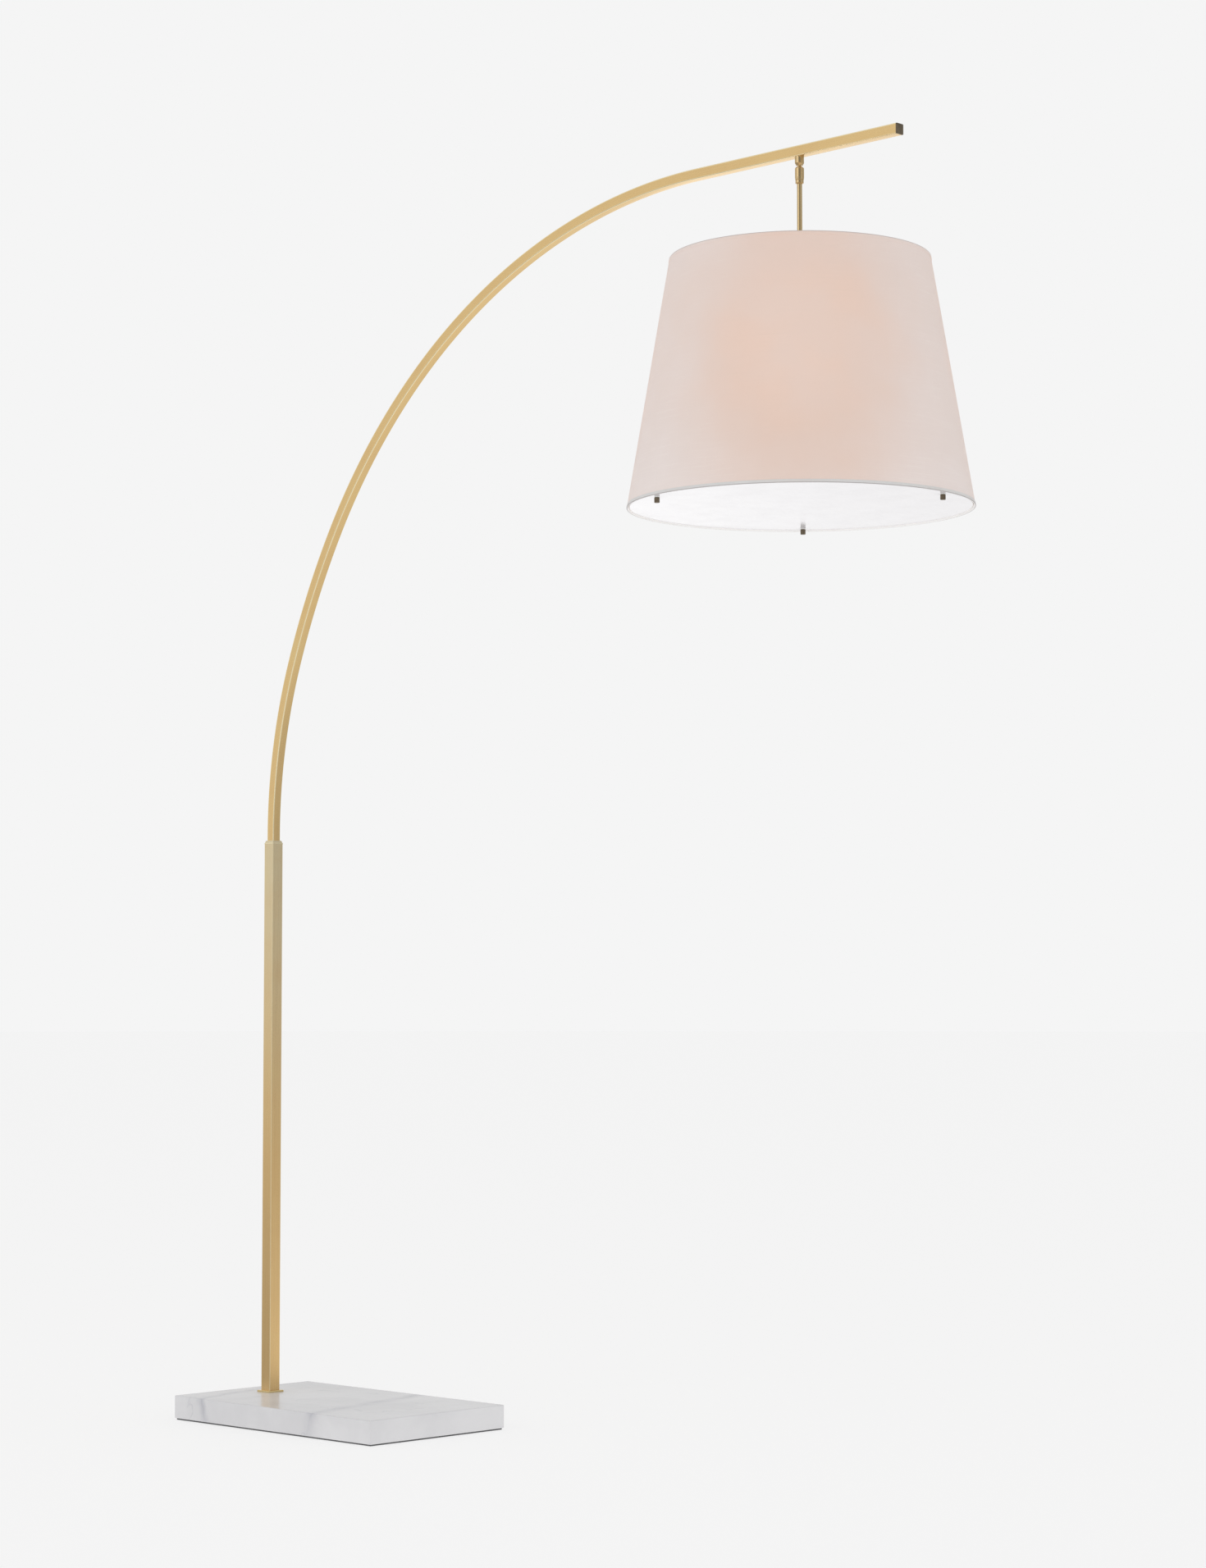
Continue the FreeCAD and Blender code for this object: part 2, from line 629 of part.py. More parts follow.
def bulb_outline(inset):
    """The edges from a bulb's neck round to its tip, drawn in from the glass's outer face by inset,
    with the first and the last point."""
    neck, radius = bulb_cap_radius - bulb_cap_wall - inset, bulb_radius - inset

    def on_ball(angle):
        """A point of the round end, at an angle from its side that faces the neck."""
        turn = math.radians(angle)
        return Vector(radius * math.sin(turn), 0, bulb_centre - radius * math.cos(turn))

    flank = math.radians(bulb_flank_angle)
    along_flank = Vector(math.cos(flank), 0, math.sin(flank))
    foot, neck_top = Vector(neck, 0, bulb_cap_end - glass_in_cap), Vector(neck, 0, bulb_neck_end)
    start, tip = on_ball(bulb_flank_angle), on_ball(180)
    shoulder = Part.BezierCurve()
    shoulder.setPoles([neck_top, neck_top + Z_AXIS * bulb_neck_pull,
                       start - along_flank * bulb_neck_pull, start])
    round_end = Part.Arc(start, on_ball(90 + bulb_flank_angle / 2), tip)
    return foot, tip, [Part.LineSegment(foot, neck_top).toShape(), shoulder.toShape(), round_end.toShape()]


def bulb_glasses():
    """The three bulbs' hollow glasses, one solid each."""
    outer_foot, outer_tip, outer = bulb_outline(0)
    inner_foot, inner_tip, inner = bulb_outline(glass_thickness)
    rim = Part.LineSegment(outer_foot, inner_foot).toShape()
    tip = Part.LineSegment(outer_tip, inner_tip).toShape()
    section = Part.Face(Part.Wire(Part.__sortEdges__([*outer, tip, *inner, rim])))
    glass = section.revolve(Vector(0, 0, 0), Z_AXIS, 360)
    return around(on_socket_axis(glass), 3, first_spoke_angle)


def socket_leads():
    tail = along_socket(tail_radius, nipple_start - 12, cup_shoulder + core_back + 2)
    return around_shade(tail, first_spoke_angle)


# Diffuser

def at_stud(radius, z, height):
    """A cylinder on the first stud's axis, before it is turned to its angle."""
    return cylinder(radius, height, Vector(hang_x + stud_circle_radius, 0, z))


def diffuser():
    plate = cylinder(diffuser_radius, diffuser_thickness, Vector(hang_x, 0, diffuser_z))
    plate = plate.makeChamfer(0.4, [e for e in plate.Edges if len(e.Vertexes) == 1])
    for hole in around(at_stud(stud_hole_radius, diffuser_z, diffuser_thickness), 3, first_stud_angle):
        plate = plate.cut(hole)
    return plate


tab_z = diffuser_top_z + 0.2


def diffuser_tabs():
    ring_z, ring_radius = ring_centre(shade_bottom_z, 1)
    tab = Part.makeBox(tab_outer_radius - tab_inner_radius, tab_width, tab_thickness,
                       Vector(hang_x + tab_inner_radius, -tab_width / 2, tab_z))
    upright_foot = Vector(hang_x + ring_radius - wire_radius - tab_thickness, -tab_width / 2, tab_z)
    upright = Part.makeBox(tab_thickness, tab_width, 5, upright_foot)
    keep = cylinder(ring_radius - wire_radius, 20, Vector(hang_x, 0, tab_z - 5))
    tab = tab.fuse(upright).common(keep)
    return around_shade(tab.cut(at_stud(stud_radius, tab_z, tab_thickness)), first_stud_angle)


def diffuser_studs():
    low_z = thumb_nut_z + thumb_nut_floor + 0.5
    return around_shade(at_stud(stud_radius, low_z, tab_z + tab_thickness - low_z), first_stud_angle)


def nylon_washers():
    ring = at_stud(nylon_washer_radius, nylon_washer_z, nylon_washer_thickness)
    ring = ring.cut(at_stud(stud_hole_radius, nylon_washer_z, nylon_washer_thickness))
    return around_shade(ring, first_stud_angle)


def thumb_nuts():
    """The three thumb nuts, one solid each."""
    body = at_stud(thumb_nut_radius, thumb_nut_z, thumb_nut_height)
    body = body.makeChamfer(thumb_nut_chamfer, [e for e in body.Edges if len(e.Vertexes) == 1])
    bore_z = thumb_nut_z + thumb_nut_floor
    body = body.cut(at_stud(stud_radius + thread_clearance, bore_z, thumb_nut_height))
    return around(body, 3, first_stud_angle)


def all_nodes():
    """Each node's name and shape."""
    nodes = {
        "base_felt": base_felt(),
        "marble_slab": marble_slab(),
        "foot_flange": foot_flange(),
        "tie_rod": tie_rod(),
        "tie_washer": tie_washer(),
        "spring_washer": spring_washer(),
        "tie_nut": tie_nut(),
        "pole_tube": pole_tube(),
        "foot_plug": foot_plug(),
        "cord_grommet": cord_grommet(),
        "pole_cap": pole_cap(),
        "arm_sleeve": arm_sleeve(),
        "grub_screws": grub_screws(),
        "arc_arm": arc_arm(),
        "arm_end_cap": arm_end_cap(),
        "arm_lead": arm_lead(),
        "swivel_lead": swivel_lead(),
        "swivel_coupling": swivel_coupling(),
        "stem_nut": stem_nut(),
        "ball_stud": ball_stud(),
        "ball_liner": ball_liner(),
        "ball_seat": ball_seat(),
        "swivel_ring_nut": swivel_ring_nut(),
        "swivel_barrel": swivel_barrel(),
        "rod_lock_ring": rod_lock_ring(),
        "drop_rod": drop_rod(),
        "rod_lead": rod_lead(),
        "shade_linen": shade_linen(),
        "shade_liner": shade_liner(),
        "top_hem": hem(shade_top_z, -1),
        "bottom_hem": hem(shade_bottom_z, 1),
        "top_ring": wire_ring(shade_top_z, -1),
        "bottom_ring": wire_ring(shade_bottom_z, 1),
        "spider_hub": spider_hub(),
        "spider_arms": spider_arms(),
        "rod_nuts": rod_nuts(),
        "cluster_body": cluster_body(),
        "cluster_cover": cluster_cover(),
        "socket_nipples": socket_nipples(),
        "socket_cups": socket_cups(),
        "socket_cores": socket_cores(),
        "socket_leads": socket_leads(),
        "diffuser": diffuser(),
        "diffuser_tabs": diffuser_tabs(),
        "diffuser_studs": diffuser_studs(),
        "nylon_washers": nylon_washers(),
    }
    families = (("bulb_cap", bulb_caps()), ("bulb_glass", bulb_glasses()), ("thumb_nut", thumb_nuts()))
    for family, pieces in families:
        for number, piece in enumerate(pieces, start=1):
            nodes[f"{family}_{number}"] = piece
    return nodes


def main():
    os.makedirs("parts", exist_ok=True)
    for name, shape in all_nodes().items():
        solids = shape.Solids
        print(f"{name}: {len(solids)} solid(s), valid {shape.isValid()}, {shape.Volume / 1000:.2f} cm3")
        shape.exportStep(f"parts/{name}.step")
    print(f"arm centre at {arm_z:.1f}, tip at {arm_tip_x:.1f}, ball centre at {ball_z:.1f}")


main()
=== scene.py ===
import json
import math

import bmesh
import bpy
from mathutils import Matrix, Vector, noise


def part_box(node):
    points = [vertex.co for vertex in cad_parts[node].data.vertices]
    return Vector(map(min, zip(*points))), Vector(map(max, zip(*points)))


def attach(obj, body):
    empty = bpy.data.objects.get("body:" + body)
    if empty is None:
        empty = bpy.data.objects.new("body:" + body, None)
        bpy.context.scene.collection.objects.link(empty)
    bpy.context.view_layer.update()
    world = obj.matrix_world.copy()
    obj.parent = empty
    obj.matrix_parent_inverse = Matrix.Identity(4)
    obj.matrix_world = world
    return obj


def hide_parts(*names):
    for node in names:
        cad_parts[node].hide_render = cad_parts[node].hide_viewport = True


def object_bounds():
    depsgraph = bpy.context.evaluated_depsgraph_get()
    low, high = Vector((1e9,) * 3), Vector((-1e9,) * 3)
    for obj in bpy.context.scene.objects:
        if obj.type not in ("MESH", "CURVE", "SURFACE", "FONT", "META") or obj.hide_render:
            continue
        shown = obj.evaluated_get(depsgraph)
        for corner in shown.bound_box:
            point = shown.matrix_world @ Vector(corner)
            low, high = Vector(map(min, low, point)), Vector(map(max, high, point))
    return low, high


# The arc floor lamp's looks, in metres and degrees. Places come from the frame's boxes, and the numbers here
# are what the boxes don't say.

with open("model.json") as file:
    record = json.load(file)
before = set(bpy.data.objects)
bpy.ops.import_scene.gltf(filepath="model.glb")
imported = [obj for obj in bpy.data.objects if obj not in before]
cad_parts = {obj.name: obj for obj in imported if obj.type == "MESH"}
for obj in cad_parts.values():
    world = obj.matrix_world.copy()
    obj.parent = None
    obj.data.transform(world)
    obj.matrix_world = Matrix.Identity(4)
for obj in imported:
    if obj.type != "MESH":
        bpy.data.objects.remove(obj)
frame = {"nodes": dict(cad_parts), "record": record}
cad_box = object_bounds()
nodes = frame["nodes"]

# The arm: each bend's radius and turn, the square tube's corners and wall, and the end cap's flange
arm_bends = ((0.865, 19.9), (1.257, 11.6), (0.991, 58.5))
arm_corner, arm_wall, arm_bore_corner = 0.0012, 0.0015, 0.0004
end_cap_thickness = 0.002
# How far above the pole cap's foot its bevel starts
cap_skirt = 0.0015

# The shade: its layers, its hems and the lap of its seam, which stands out by a step
skin_thickness, lining_thickness = 0.0007, 0.0005
hem_height, hem_thickness, hem_ease = 0.005, 0.0005, 0.0004
seam_angle, seam_width, seam_step = 134.0, 0.012, 0.0004
linen_waver, hem_pucker = 0.0002, 0.00012
round_steps, wire_steps = 288, 16

# The bulbs' light, painted into the linen as a glow and a warm tint: how far from the axis the lights are and
# how far they reach, and for the painted glow and the painted warm tint the height, how much less a distance
# counts upwards than sideways, and the strength at the patch's edge and in its middle
bulb_angles = (70.0, 190.0, 310.0)
glow_radius, glow_reach = 0.11, 0.12
glow_patch, painted_warm_patch = (1.60, 0.50, 0.06, 0.30), (1.48, 0.34, 0.09, 0.22)

# The bulbs' screw caps, with heights along the socket's axis
socket_tilt, socket_below_top = 50.0, 0.003
cap_start, cap_end, cap_radius, cap_wall = 0.058, 0.088, 0.013, 0.001
cap_shoulder, cap_floor, cap_ease = 0.0012, 0.002, 0.0006
thread_pitch, thread_depth, thread_runout = 0.0036, 0.0006, 0.002
contact_radius, contact_height = 0.005, 0.003

# The thumb nuts: a blind bore and a straight knurl
nut_bore, nut_floor, nut_ease, nut_corner = 0.00205, 0.0016, 0.0006, 0.0002
knurl_ridges, knurl_depth, knurl_profile = 24, 0.0002, (0.0, 0.7, 1.0, 0.7)

# The view: the camera looks along the azimuth, from -Y towards +X, and up by the pitch
camera_azimuth, camera_pitch = 44.172, 3.526
camera_target, camera_distance = Vector((0.8006, 0, 1.0579)), 5.3704
camera_lens, camera_sensor = 77.96, 36.0
backdrop = 0.913

# The light: how bright the studio is at bearings round from -Y towards +X, and overhead
studio = ((-180, 0.72), (-136, 0.80), (-90, 0.88), (-46, 0.80), (-6, 1.05), (19, 0.55), (34, 0.30),
          (56, 0.30), (89, 0.74), (136, 0.50), (180, 0.72))
overhead, matt_walls, matt_overhead, walls_top, ceiling_edge = 0.72, 0.86, 0.62, 0.35, 0.90
# The floor: how pale it is, how much light it gives, its radius, and how far it lies below the lamp
floor_albedo, floor_light, floor_radius, floor_gap = 0.60, 0.470, 60.0, 0.0002
# How bright metal reflects it at a distance to the left (-) or right of the lamp, over a span, and how much
# brighter far away
floor_span = 40.0
floor_tones = ((-15, 0.70), (-6, 0.48), (-2, 0.42), (-1, 0.46), (-0.3, 0.42), (0, 0.90), (0.5, 0.97),
               (2, 0.80), (6, 0.46), (15, 0.42))
far_floor_gain, far_floor_start, far_floor_full = 1.35, 3.0, 8.0
# How much a metre along X and along Y counts to the right
rightward = (0.72, 0.70)
# The softbox: its bearing round from -Y towards +X, and its height and distance from what it faces
softbox_azimuth, softbox_height, softbox_distance, softbox_size, softbox_power = -6.0, 4.0, 8.0, 3.0, 20.0
softbox_target = Vector((0.7, 0, 1.2))


# Measures taken from the frame

def low(node):
    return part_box(node)[0]


def high(node):
    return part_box(node)[1]


def middle(node):
    return (low(node) + high(node)) / 2


def radius_of(node):
    """Half a round node's width along X."""
    return (high(node).x - low(node).x) / 2


hang = Vector((middle("drop_rod").x, middle("drop_rod").y, 0))
shade_top, shade_bottom = high("top_hem").z, low("bottom_hem").z
linen_low, linen_high = low("shade_linen").z, high("shade_linen").z
linen_foot_radius = radius_of("shade_linen")
linen_head_radius = max((v.co - hang).to_2d().length for v in nodes["shade_linen"].data.vertices
                        if v.co.z > linen_high - 1e-4)
arm_side = high("arc_arm").y - low("arc_arm").y
arm_centre_z = middle("arm_end_cap").z


# Meshes

def add_piece(name, mesh, body, material, replaced=()):
    """Adds a mesh as a piece that rides on a body and stands for the named CAD nodes."""
    piece = bpy.data.objects.new(name, mesh)
    bpy.context.scene.collection.objects.link(piece)
    mesh.materials.append(material)
    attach(piece, body)
    if replaced:
        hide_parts(*replaced)
    return piece


def finish_mesh(name, bm, sharp_angle=35.0):
    """Turns a bmesh into a smooth mesh with its faces out and its edges sharp past an angle."""
    bmesh.ops.remove_doubles(bm, verts=bm.verts, dist=1e-7)
    bmesh.ops.recalc_face_normals(bm, faces=bm.faces)
    mesh = bpy.data.meshes.new(name)
    bm.to_mesh(mesh)
    bm.free()
    mesh.shade_smooth()
    mesh.set_sharp_from_angle(angle=math.radians(sharp_angle))
    return mesh


def distances(points, closed):
    """How far along a line of points each one is, with the whole length last if the line is closed."""
    total, found = 0.0, [0.0]
    last = points[1:] + points[:1] if closed else points[1:]
    for a, b in zip(points, last):
        total += (b - a).length
        found.append(total)
    return found


def loft(bm, rings, closed_rings=True, closed_way=False):
    """Quads between rings of points. UV holds the distance along the way and round the ring. Returns the
    rings' vertices."""
    uv = bm.loops.layers.uv.verify()
    way = distances([ring[0] for ring in rings], closed_way)
    round_it = distances(rings[0], closed_rings)
    verts = [[bm.verts.new(p) for p in ring] for ring in rings]
    count, length = len(rings[0]), len(rings)
    for i in range(length if closed_way else length - 1):
        here, there = verts[i], verts[(i + 1) % length]
        for j in range(count if closed_rings else count - 1):
            k = (j + 1) % count
            face = bm.faces.new((here[j], there[j], there[k], here[k]))
            places = ((i, j), (i + 1, j), (i + 1, j + 1), (i, j + 1))
            for corner, (a, b) in zip(face.loops, places):
                corner[uv].uv = (way[a], round_it[b])
    return verts


def eased(outline, radius, steps=3):
    """An outline of (radius, height) points with every corner off the axis rounded."""
    count, found = len(outline), []
    for i, here in enumerate(outline):
        if here[0] == 0 and i in (0, count - 1):
            found.append(here)
            continue
        p = Vector(here)
        a, b = Vector(outline[i - 1]) - p, Vector(outline[(i + 1) % count]) - p
        reach = min(radius, a.length * 0.45, b.length * 0.45)
        start, end = p + a.normalized() * reach, p + b.normalized() * reach
        for step in range(steps + 1):
            t = step / steps
            q = start * (1 - t) ** 2 + p * 2 * t * (1 - t) + end * t * t
            found.append((q.x, q.y))
    return found


def square_section(side, corner, steps=5):
    """A square's points about the origin, with round corners."""
    half, points = side / 2 - corner, []
    for quarter in range(4):
        for step in range(steps + 1):
            angle = math.radians(90 * quarter + 90 * step / steps)
            turn = math.radians(90 * quarter)
            cx = half * (math.cos(turn) - math.sin(turn))
            cy = half * (math.sin(turn) + math.cos(turn))
            points.append(Vector((cx + corner * math.cos(angle), cy + corner * math.sin(angle), 0)))
    return points


# Materials

class Tree:
    """The nodes of a material or a world. A number, colour or vector is set on a socket, and a node's output
    is linked."""

    def __init__(self, name, owners=bpy.data.materials):
        self.owner = owners.new(name)
        self.owner.use_nodes = True
        self.nodes = self.owner.node_tree.nodes
        self.links = self.owner.node_tree.links
        self.nodes.clear()

    def add(self, kind, inputs=(), output=0, **settings):
        node = self.nodes.new("ShaderNode" + kind)
        for key, value in settings.items():
            setattr(node, key, value)
        for key, value in dict(inputs).items():
            if isinstance(value, bpy.types.NodeSocket):
                self.links.new(value, node.inputs[key])
            else:
                node.inputs[key].default_value = value
        return node.outputs[output] if node.outputs else node

    def place(self):
        """The point on the piece, in metres."""
        return self.add("TexCoord", output="Object")

    def along(self):
        """The distance along and round a lofted piece, in metres."""
        return self.add("TexCoord", output="UV")

    def scaled(self, vector, scale):
        return self.add("VectorMath", {0: vector, 1: scale}, operation="MULTIPLY")

    def noise(self, vector, scale=1.0, detail=2.0, roughness=0.5, distortion=0.0, output=0):
        inputs = {"Vector": vector, "Scale": scale, "Detail": detail, "Roughness": roughness,
                  "Distortion": distortion}
        return self.add("TexNoise", inputs, output)

    def maths(self, operation, a, b=0.0):
        return self.add("Math", {0: a, 1: b}, operation=operation)

    def remap(self, value, start, end, to_start=0.0, to_end=1.0):
        """The value eased from one range to another."""
        inputs = {"Value": value, "From Min": start, "From Max": end, "To Min": to_start, "To Max": to_end}
        return self.add("MapRange", inputs, interpolation_type="SMOOTHSTEP")

    def apart(self, a, b):
        """How far apart two numbers are."""
        return self.maths("ABSOLUTE", self.maths("SUBTRACT", a, b))

    def distance(self, point, other):
        return self.add("VectorMath", {0: point, 1: other}, "Value", operation="DISTANCE")

    def split(self, vector, axis):
        """A vector's X, Y or Z."""
        return self.add("SeparateXYZ", {0: vector}, axis)

    def mix(self, share, a, b):
        """A colour between a and b."""
        return self.add("Mix", {0: share, 6: a, 7: b}, 2, data_type="RGBA")

    def bump(self, height, distance, strength=1.0):
        return self.add("Bump", {"Height": height, "Distance": distance, "Strength": strength}, "Normal")

    def surface(self, **sockets):
        """A principled shader with the sockets named, with _ for a space. Returns the material."""
        inputs = {key.replace("_", " "): value for key, value in sockets.items()}
        shader = self.add("BsdfPrincipled", inputs, "BSDF")
        return self.shown(shader)

    def shown(self, shader):
        self.add("OutputMaterial", {"Surface": shader})
        return self.owner


def rgb(red, green, blue):
    return (red, green, blue, 1.0)


# Tints
marble_white, marble_cloud = rgb(0.80, 0.795, 0.807), rgb(0.72, 0.715, 0.73)
vein_grey, vein_core, hairline_grey = rgb(0.56, 0.56, 0.60), rgb(0.42, 0.42, 0.46), rgb(0.50, 0.50, 0.54)
brass, red_patina, yellow_patina = rgb(0.80, 0.565, 0.26), rgb(0.70, 0.44, 0.20), rgb(0.80, 0.64, 0.30)
# The last colour here is a painted highlight for the brass's edges
bright_streak, painted_edge_highlight = rgb(0.90, 0.70, 0.38), rgb(1.0, 0.88, 0.58)
# The second tint is painted light, paling the pole towards its top
golden, painted_pale_top, aged = rgb(0.78, 0.535, 0.245), rgb(0.76, 0.64, 0.41), rgb(0.60, 0.455, 0.245)
pale, dull_gold = rgb(0.78, 0.68, 0.46), rgb(0.72, 0.56, 0.28)
linen_light, linen_dark = rgb(0.905, 0.828, 0.80), rgb(0.77, 0.687, 0.66)
# The grey for a hem's fold is a painted shadow
hem_light, hem_dark, painted_fold_shadow = rgb(0.86, 0.845, 0.835), rgb(0.76, 0.745, 0.735), rgb(0.42, 0.395, 0.385)
# The lit linen, the light through it and the leaked light are painted glow and tint from the lamp's light
slub_tint, linen_cloud, lit_linen = rgb(0.90, 0.84, 0.79), rgb(0.78, 0.68, 0.62), rgb(0.80, 0.57, 0.455)
through_linen, leaked_light = rgb(1.0, 0.80, 0.72), rgb(1.0, 0.98, 0.96)

# The marble's two veins: each one's plane by its slant, its place along the slab, and its width
veins = (((1.0, 0.24, -0.45), 0.264, 0.026), ((1.0, 0.28, 0.26), 0.015, 0.018))
vein_core_width, hairline_width = 0.0045, 0.012


def marble_material():
    """White marble: soft grey clouds, two cross veins, and a few hairlines."""
    tree = Tree("marble")
    place = tree.place()
    drift = tree.noise(place, 9.0, 4.0, 0.6, output=1)
    bent = tree.add("VectorMath", {0: drift, 1: (0.07, 0.07, 0.07), 2: place}, operation="MULTIPLY_ADD")
    clouds = tree.noise(bent, 5.0, 5.0, 0.6)
    colour = tree.mix(tree.remap(clouds, 0.38, 0.70), marble_white, marble_cloud)
    for slant, along_slab, width in veins:
        plane = tree.add("VectorMath", {0: bent, 1: slant}, 1, operation="DOT_PRODUCT")
        off = tree.apart(plane, along_slab)
        patchy = tree.remap(tree.noise(place, 16.0, 2.0), 0.30, 0.62, 0.35, 1.0)
        soft = tree.maths("MULTIPLY", tree.remap(off, width, 0.0), patchy)
        thin = tree.maths("MULTIPLY", tree.remap(off, vein_core_width, 0.0), patchy)
        colour = tree.mix(tree.maths("MULTIPLY", soft, 0.75), colour, vein_grey)
        colour = tree.mix(tree.maths("MULTIPLY", thin, 0.22), colour, vein_core)
    hair = tree.remap(tree.apart(tree.noise(bent, 7.0, 3.0, 0.55), 0.5), hairline_width, 0.0)
    hair = tree.maths("MULTIPLY", hair, tree.remap(clouds, 0.45, 0.62))
    colour = tree.mix(tree.maths("MULTIPLY", hair, 0.35), colour, hairline_grey)
    polish = tree.remap(tree.noise(place, 14.0, 2.0), 0.3, 0.7, 0.215, 0.245)
    pits = tree.bump(tree.noise(place, 160.0, 2.0), 0.00001, 0.10)
    return tree.surface(Base_Color=colour, Roughness=polish, Normal=pits, IOR=1.36)


# Masks for painted highlights along the brass's edges and round the cap's bevel
def arm_edges(tree):
    """The arm's four long edges, from the distance round its section."""
    quarter = math.pi / 2 * arm_corner + arm_side - 2 * arm_corner
    sides_round = tree.maths("DIVIDE", tree.split(tree.along(), "Y"), quarter)
    on_side = tree.maths("MULTIPLY", tree.maths("FRACT", sides_round), quarter)
    from_edge = tree.apart(on_side, math.pi / 4 * arm_corner)
    return tree.remap(from_edge, 0.0020, 0.0007, 0.0, 0.85)


def pole_edges(tree):
    """The pole's four long edges."""
    place = tree.place()
    across, along = (tree.maths("ABSOLUTE", tree.split(place, axis)) for axis in "XY")
    reach = tree.maths("ADD", across, along)
    side = 2 * radius_of("pole_tube")
    return tree.remap(reach, side - 0.0016, side - 0.0009, 0.0, 0.45)


def cap_edges(tree):
    """The pole cap's corners, and the line round it where its bevel starts."""
    from_line = tree.apart(tree.split(tree.place(), "Z"), low("pole_cap").z + cap_skirt)
    return tree.maths("MAXIMUM", pole_edges(tree), tree.remap(from_line, 0.0012, 0.0004, 0.0, 0.6))


def brass_material(name, coords, grain, roughness=0.30, tint=brass, high_tint=None, heights=(0.0, 1.0),
                   edges=None):
    """Satin brass. grain is the brushing's scale along each axis of the coordinates. The tint may change to
    another between two heights, a painted shading of how light falls along the piece. edges(tree) says where
    a painted highlight brightens the brass along its edges."""
    tree = Tree(name)
    place = tree.place()
    vector = tree.along() if coords == "UV" else place
    streaks = tree.noise(tree.scaled(vector, grain), 1.0, 4.0, 0.65)
    fine = tree.noise(tree.scaled(vector, tuple(2.7 * g for g in grain)), 1.0, 3.0, 0.6)
    # Painted light: the tint changes with height
    if high_tint:
        tint = tree.mix(tree.remap(tree.split(place, "Z"), *heights), tint, high_tint)
    age = tree.noise(place, 11.0, 4.0, 0.6)
    tint = tree.mix(tree.remap(age, 0.45, 0.75, 0.0, 0.28), tint, red_patina)
    tint = tree.mix(tree.remap(age, 0.45, 0.25, 0.0, 0.25), tint, yellow_patina)
    tint = tree.mix(tree.remap(streaks, 0.35, 0.75, 0.0, 0.14), tint, bright_streak)
    # A painted highlight along the edges
    if edges:
        tint = tree.mix(edges(tree), tint, painted_edge_highlight)
    dull = tree.remap(streaks, 0.25, 0.75, roughness - 0.05, roughness + 0.08)
    brushed = tree.bump(tree.maths("ADD", streaks, fine), 0.00002, 0.22)
    return tree.surface(Base_Color=tint, Metallic=1.0, Roughness=dull, Normal=brushed)


def lit_from_behind(tree, place, centre_z, squash, edge, full):
    """How strongly the three bulbs, at a height, light a point of the linen from behind, in soft patches. The
    linen paints this light in as a glow and a warm tint.
    """
    total = 0.0
    squashed = tree.scaled(place, (1.0, 1.0, squash))
    for angle in bulb_angles:
        out = Vector((math.cos(math.radians(angle)), math.sin(math.radians(angle)), 0))
        spot = hang + glow_radius * out + Vector((0, 0, centre_z * squash))
        near = tree.maths("DIVIDE", tree.distance(squashed, spot), glow_reach)
        near = tree.maths("ADD", tree.maths("MULTIPLY", near, near), 1.0)
        total = tree.maths("ADD", tree.maths("DIVIDE", 1.0, tree.maths("MULTIPLY", near, near)), total)
    patches = tree.remap(tree.noise(place, 9.0, 2.0, 0.5), 0.32, 0.68, -0.12, 0.12)
    patches = tree.maths("MULTIPLY", patches, tree.remap(total, 0.08, 0.2))
    return tree.maths("ADD", tree.remap(total, edge, full), patches)


def weave_height(tree, along, thread=0.00075):
    """A plain weave of uneven threads both ways. Returns its height and where its thicker slubs are."""
    pulled = tree.noise(tree.scaled(along, (9.0, 420.0, 1.0)), 1.0, 3.0, 0.6)
    shoved = tree.noise(tree.scaled(along, (420.0, 9.0, 1.0)), 1.0, 3.0, 0.6)
    threads, heights = [], []
    for axis, wander in (("X", shoved), ("Y", pulled)):
        count = tree.maths("DIVIDE", tree.split(along, axis), thread)
        count = tree.maths("ADD", count, tree.maths("MULTIPLY", wander, 0.7))
        threads.append(count)
        heights.append(tree.maths("ABSOLUTE", tree.maths("SINE", tree.maths("MULTIPLY", count, math.pi))))
    over = tree.add("CombineXYZ", {0: threads[0], 1: threads[1]})
    turns = tree.add("TexChecker", {"Vector": over, "Scale": 1.0}, "Fac")
    warp = tree.maths("MULTIPLY", heights[0], turns)
    weft = tree.maths("MULTIPLY", heights[1], tree.maths("SUBTRACT", 1.0, turns))
    slubs = tree.maths("MAXIMUM", tree.remap(pulled, 0.52, 0.80), tree.remap(shoved, 0.56, 0.84))
    return tree.maths("ADD", tree.maths("ADD", warp, weft), tree.maths("MULTIPLY", slubs, 0.9)), slubs


